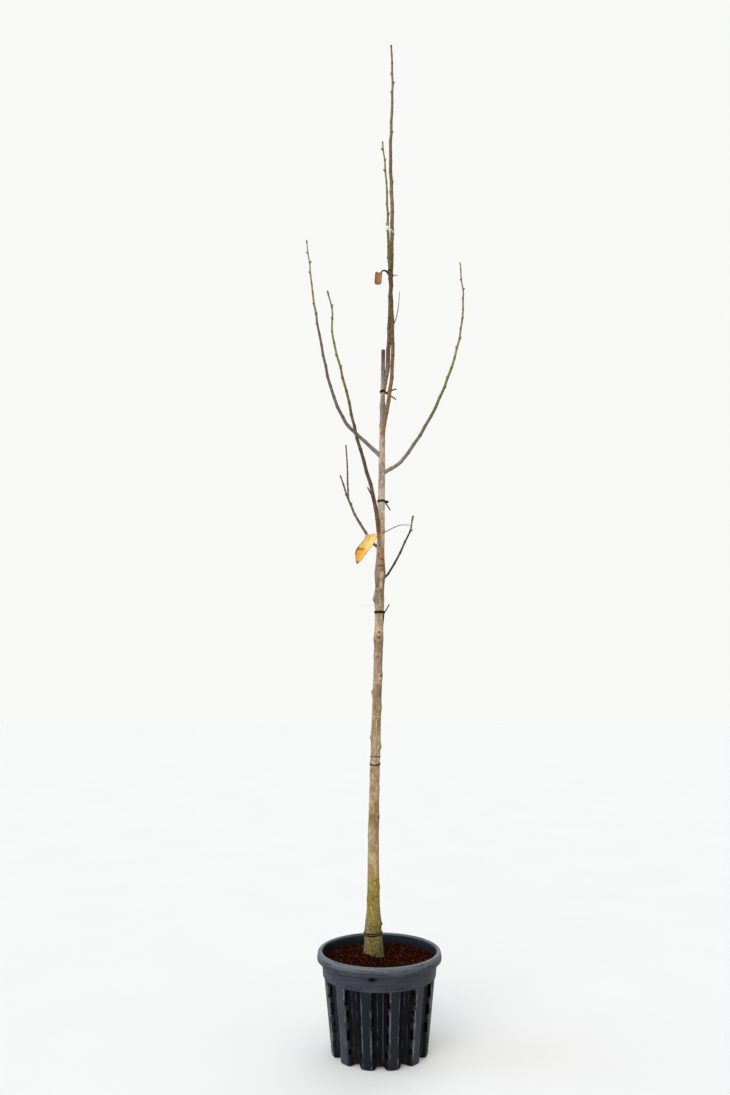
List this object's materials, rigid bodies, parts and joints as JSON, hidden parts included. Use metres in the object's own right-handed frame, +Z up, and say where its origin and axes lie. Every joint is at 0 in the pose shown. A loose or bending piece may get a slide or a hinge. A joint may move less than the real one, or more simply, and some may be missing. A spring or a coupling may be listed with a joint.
{
  "type": "potted walnut tree",
  "caption": "Young bare walnut tree with a straight grey stem, upswept shoots and a last yellow leaf, standing in a fluted black nursery pot filled with compost.",
  "frame": {"origin": "middle of the pot's flat underside", "axes": "+Z up along the stem, -Y towards the side that the picture shows, +X to the right as seen there"},
  "size_m": [0.7476, 0.5209, 4.517],
  "materials": {
    "pot_plastic": "satin, dusty",
    "compost": "rough, crumbly",
    "trunk_bark": "smooth young bark",
    "old_bark": "smooth young bark",
    "shoot_bark": "satin shoot bark",
    "leaf_yellow": "thin soft leaf",
    "leaf_brown": "dry leaf"
  },
  "bodies": {
    "root": {"pot": "pot_plastic", "compost": "compost", "trunk": "trunk_bark", "leader": "old_bark", "side_bough": "old_bark", "high_left_bough": "old_bark", "high_right_bough": "old_bark", "mid_left_bough": "old_bark", "low_left_bough": "old_bark", "low_right_bough": "old_bark", "leader_shoot": "shoot_bark", "side_shoot": "shoot_bark", "high_left_shoot": "shoot_bark", "high_right_shoot": "shoot_bark", "mid_left_shoot": "shoot_bark", "low_left_shoot": "shoot_bark", "low_right_shoot": "shoot_bark", "mid_left_spur": "shoot_bark", "low_leaf_stalk": "shoot_bark", "high_leaf_stalk": "shoot_bark", "yellow_leaf": "leaf_yellow", "dry_leaf": "leaf_brown"}
  },
  "joints": []
}
